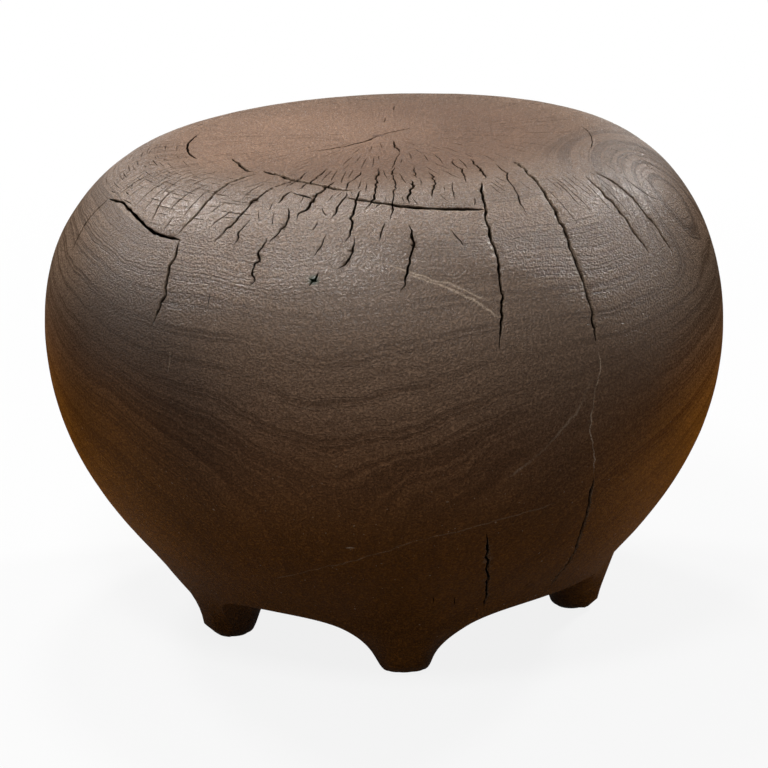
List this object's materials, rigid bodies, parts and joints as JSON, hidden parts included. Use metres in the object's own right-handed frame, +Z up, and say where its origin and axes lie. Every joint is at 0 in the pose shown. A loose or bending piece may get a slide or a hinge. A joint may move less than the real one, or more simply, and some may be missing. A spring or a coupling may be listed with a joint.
{
  "type": "footstool",
  "caption": "Low round footstool carved from a single dark log, with a wide bulging body, a flat top, short integral feet and felt pads.",
  "frame": {"origin": "on the floor, under the middle of the stool's bounding box", "axes": "+Z up from the floor to the seat, -Y towards the pictured front, +X to the right seen from that front"},
  "size_m": [0.5536, 0.5539, 0.4051],
  "materials": {
    "wood": "dark brown stained end grain and side grain, satin oiled, with open drying checks",
    "felt": "dense dark needle felt"
  },
  "bodies": {
    "root": {"carved_body": "wood", "felt_pad_front": "felt", "felt_pad_right": "felt", "felt_pad_back": "felt", "felt_pad_left": "felt"}
  },
  "joints": []
}
